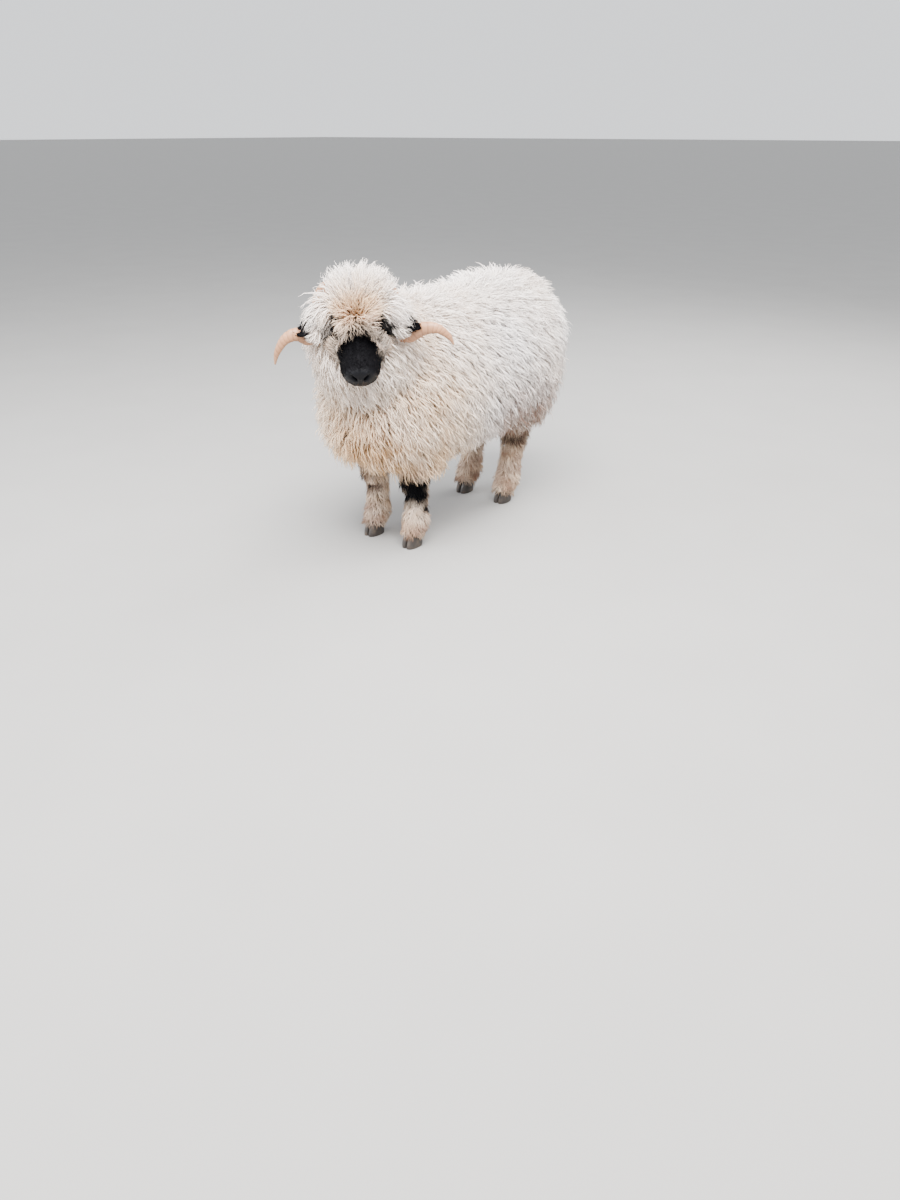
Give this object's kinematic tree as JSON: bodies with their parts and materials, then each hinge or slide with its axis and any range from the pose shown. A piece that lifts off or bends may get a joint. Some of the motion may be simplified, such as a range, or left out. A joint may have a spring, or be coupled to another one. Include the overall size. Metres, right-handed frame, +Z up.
{
  "type": "valais blacknose sheep",
  "caption": "Life-size standing horned sheep in full shaggy fleece, with a black muzzle and ears and its head turned to its left.",
  "frame": {"origin": "middle of the bounding box in plan, on the floor that the hooves stand on", "axes": "+Z up, the body faces -Y, the animal's left side is at +X; the head is turned towards -Y+X"},
  "size_m": [0.5736, 1.2554, 0.913],
  "materials": {
    "wool": "matt long curled wool, cream white",
    "black_hair": "short matt black hair",
    "horn": "satin ringed horn, pale peach",
    "hoof": "satin dark hoof horn",
    "eye": "wet glossy amber-brown eye"
  },
  "bodies": {
    "root": {"claw_front_left_inner": "hoof", "claw_front_left_outer": "hoof", "claw_front_right_inner": "hoof", "claw_front_right_outer": "hoof", "claw_hind_left_inner": "hoof", "claw_hind_left_outer": "hoof", "claw_hind_right_inner": "hoof", "claw_hind_right_outer": "hoof", "ear_left": "black_hair", "ear_right": "black_hair", "eye_left": "eye", "eye_right": "eye", "head": "wool", "horn_left": "horn", "horn_right": "horn", "leg_front_left": "wool", "leg_front_right": "wool", "leg_hind_left": "wool", "leg_hind_right": "wool", "neck": "wool", "tail": "wool", "torso": "wool"}
  },
  "joints": []
}
